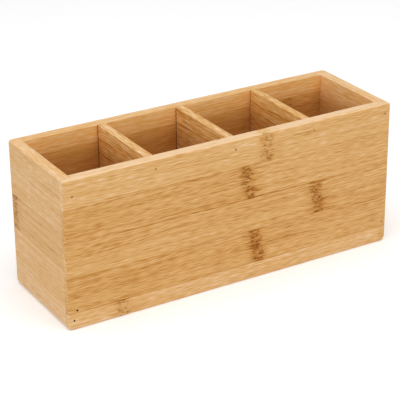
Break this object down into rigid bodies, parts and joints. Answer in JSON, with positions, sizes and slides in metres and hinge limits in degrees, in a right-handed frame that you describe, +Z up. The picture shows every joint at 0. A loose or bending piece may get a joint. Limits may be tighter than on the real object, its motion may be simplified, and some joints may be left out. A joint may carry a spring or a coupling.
{
  "type": "compartment box",
  "caption": "Long, narrow, open-topped bamboo box with equal side-by-side compartments for pens, brushes or cutlery; rebated corners held by brads.",
  "frame": {"origin": "middle of the footprint, on the surface that the box stands on", "axes": "+X along the box's length, to the right seen from the front; +Y from front to back; +Z up"},
  "size_m": [0.25, 0.08, 0.104],
  "materials": {
    "bamboo_long_boards": "laminated bamboo, clear satin lacquer",
    "bamboo_side_boards": "laminated bamboo, clear satin lacquer",
    "bamboo_dividers": "laminated bamboo, clear satin lacquer",
    "bamboo_base": "bamboo ply, clear satin lacquer",
    "brad_steel": "dull dark steel"
  },
  "bodies": {
    "root": {"front_panel": "bamboo_long_boards", "back_panel": "bamboo_long_boards", "left_side": "bamboo_side_boards", "right_side": "bamboo_side_boards", "base_panel": "bamboo_base", "divider_left": "bamboo_dividers", "divider_middle": "bamboo_dividers", "divider_right": "bamboo_dividers", "front_brads": "brad_steel", "back_brads": "brad_steel"}
  },
  "joints": []
}
